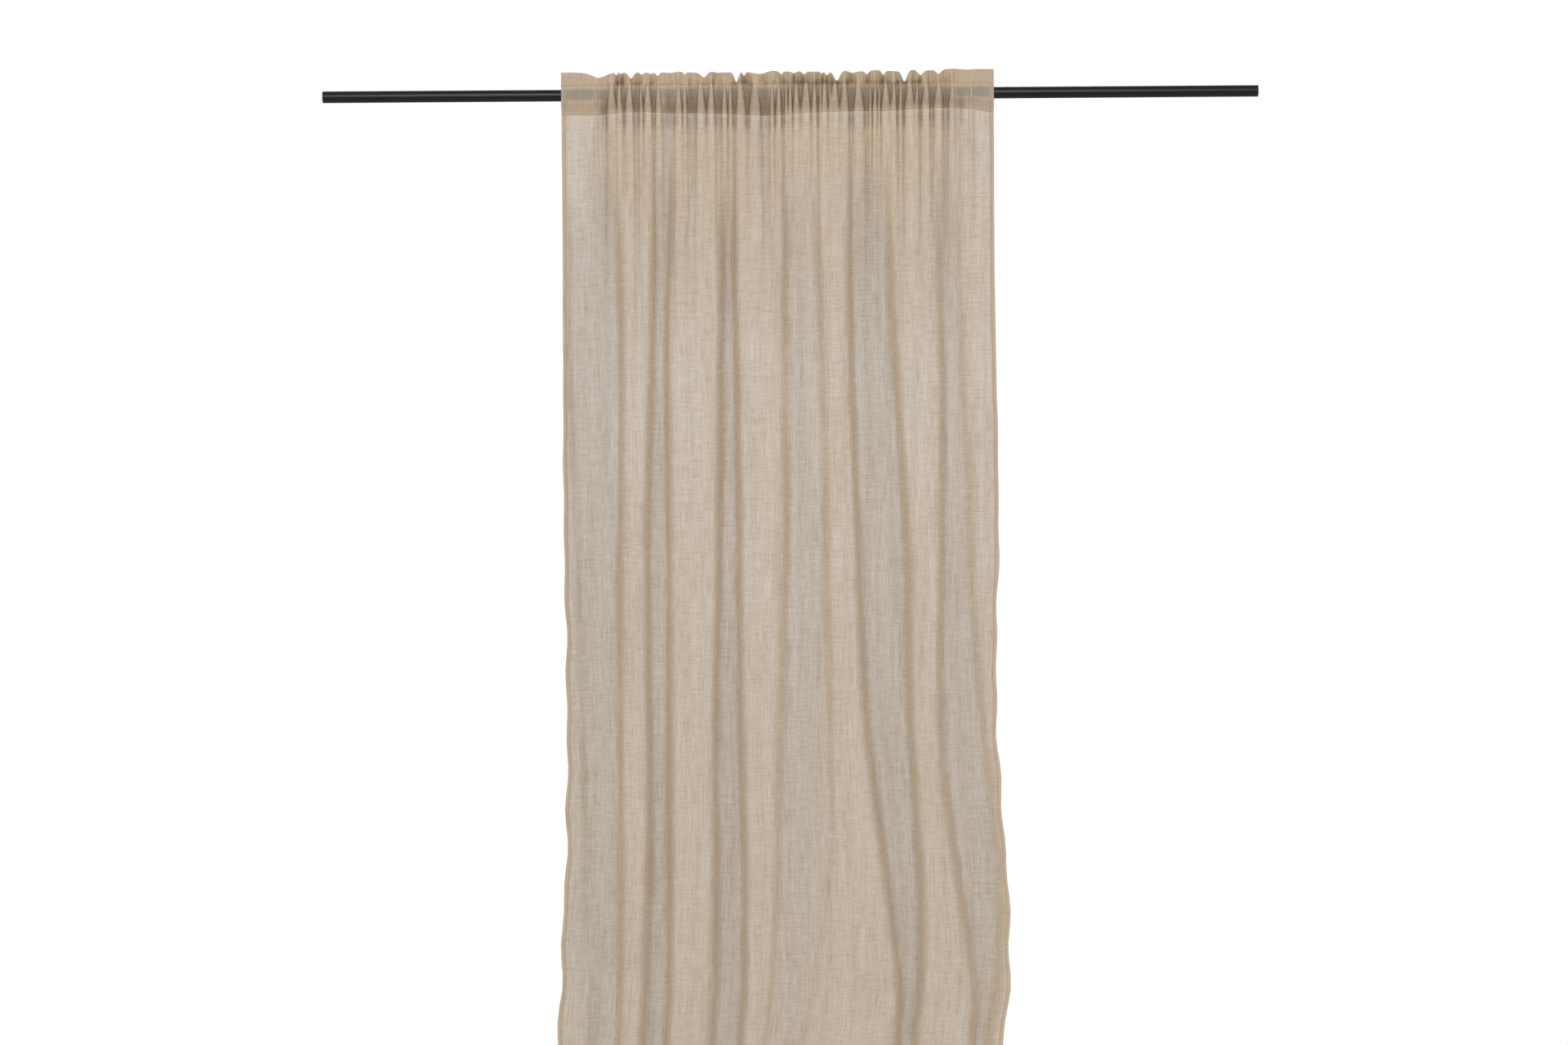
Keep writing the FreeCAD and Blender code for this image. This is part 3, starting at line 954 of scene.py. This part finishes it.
# %% Thread, label and rod
def object_noise(tree, scale):
    """Noise with `scale` cells to a metre."""
    where = node(tree, "ShaderNodeTexCoord").outputs["Object"]
    noise = node(tree, "ShaderNodeTexNoise")
    noise.inputs["Scale"].default_value = scale
    noise.inputs["Detail"].default_value = 2
    tree.links.new(where, noise.inputs["Vector"])
    return noise.outputs[0]


def mottle(tree, shader, scale, dark, light):
    """Base Color between two colours by noise."""
    colour = ramp(tree, object_noise(tree, scale), [(0.3, dark + (1,)), (0.7, light + (1,))])
    feed(tree, shader.inputs["Base Color"], colour)


spun, tree, shader = new_material("spun_thread")
mottle(tree, shader, 900, (0.26, 0.19, 0.12), (0.40, 0.31, 0.21))
shader.inputs["Roughness"].default_value = 0.7
for piece in stitches:
    piece.data.materials.append(spun)

satin, tree, shader = new_material("satin_tape")
mottle(tree, shader, 1500, (0.70, 0.68, 0.63), (0.78, 0.76, 0.71))
shader.inputs["Roughness"].default_value = 0.45
label.data.materials.append(satin)

enamel, tree, shader = new_material("black_enamel")
mottle(tree, shader, 60, (0.005, 0.005, 0.005), (0.008, 0.008, 0.008))
feed(tree, shader.inputs["Roughness"], maths(tree, "MULTIPLY_ADD", object_noise(tree, 240), 0.06, 0.30))
shader.inputs["Specular IOR Level"].default_value = 0.3
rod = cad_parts["rod_tube"]
rod.data.materials.clear()
rod.data.materials.append(enamel)
print("finishes:", [m.name for m in (sheer, spun, satin, enamel)])

# %% [markdown]
# ## Light
# A bright white room stands around the curtain. It is an even white surround, which looks brighter
# to the camera than it shines on the cloth, so that the ground stays white and the cloth isn't
# washed out.

# %% White surround
ROOM_LIGHT = 0.475                    # strength of the surround as the cloth feels it

world = bpy.data.worlds.new("white room")
bpy.context.scene.world = world
world.use_nodes = True
tree = world.node_tree
tree.nodes.clear()


def surround(colour, strength):
    """One Background shader's output."""
    made = node(tree, "ShaderNodeBackground")
    made.inputs["Color"].default_value = colour
    made.inputs["Strength"].default_value = strength
    return made.outputs[0]


ray = node(tree, "ShaderNodeLightPath")
choose = node(tree, "ShaderNodeMixShader")
tree.links.new(ray.outputs["Is Camera Ray"], choose.inputs[0])
tree.links.new(surround((1.0, 0.99, 0.97, 1), ROOM_LIGHT), choose.inputs[1])
tree.links.new(surround((1, 1, 1, 1), 1.0), choose.inputs[2])
tree.links.new(choose.outputs[0], node(tree, "ShaderNodeOutputWorld").inputs[0])
print("surround nodes:", len(tree.nodes))


# %% [markdown]
# One large soft light stands high in front, a little to the left, like a tall window, and gives
# the folds their shape. A weaker one stands behind and lights the back of the cloth. The camera
# doesn't see the lights themselves.

# %% Lights
def soft_light(name, place, towards, size, power):
    """A square area light at `place` that faces `towards`, hidden from the camera."""
    data = bpy.data.lights.new(name, "AREA")
    data.shape = "SQUARE"
    data.size = size
    data.energy = power
    lamp = bpy.data.objects.new(name, data)
    lamp.location = place
    direction = Vector(towards) - Vector(place)
    lamp.rotation_euler = direction.to_track_quat("-Z", "Y").to_euler()
    lamp.visible_camera = False
    bpy.context.scene.collection.objects.link(lamp)


MIDDLE = (0, 0, -0.9)                 # the lights face the middle of the drape
soft_light("key", (-0.25, -5.0, 1.6), towards=MIDDLE, size=2.6, power=157)
soft_light("fill", (0.6, 4.8, 1.8), towards=MIDDLE, size=2.6, power=100)
print("lights:", len(bpy.data.lights))

# %% [markdown]
# The floor is one pale rectangle just below the hem. It catches the panel's soft shadow.

# %% Floor
FLOOR_DROP = 30 * MM                  # below the hem
FLOOR_SIDE, FLOOR_FRONT, FLOOR_BACK = 2.2, -1.6, 0.9
floor_z = BOTTOM - FLOOR_DROP
corners = [(-FLOOR_SIDE, FLOOR_FRONT, floor_z), (FLOOR_SIDE, FLOOR_FRONT, floor_z),
           (FLOOR_SIDE, FLOOR_BACK, floor_z), (-FLOOR_SIDE, FLOOR_BACK, floor_z)]
mesh = bpy.data.meshes.new("floor")
mesh.from_pydata(corners, [], [(0, 1, 2, 3)])
floor = new_piece("floor", mesh)
paint, tree, shader = new_material("floor_paint")
shader.inputs["Base Color"].default_value = (0.8, 0.8, 0.79, 1)
shader.inputs["Roughness"].default_value = 0.9
mesh.materials.append(paint)
print("floor at", round(floor_z, 3))

# %% [markdown]
# ## Riding along
# The cloth's left edge is its trailing edge: it slides along the rod with its first fold. The cloth,
# its stitches and the tape ride on that fold's body, each with a mesh of its own. When the panel is
# drawn, the real cloth closes up and stacks in deeper folds; these pieces only ride along with the
# fold. The cloth stands for all the leaves and hems of the frame, the stitches for its threads, and
# the tape for its label, and those parts of the frame are hidden.

# %% Bodies and hidden frame parts
for piece in [panel, label] + stitches:
    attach(piece, "trailing_fold")
    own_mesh(piece)

stitch_nodes = [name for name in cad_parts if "stitching" in name]
cloth_nodes = [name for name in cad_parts
               if name not in stitch_nodes and name not in ("rod_tube", "care_label")]
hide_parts(*cloth_nodes)
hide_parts("care_label")
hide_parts(*stitch_nodes)
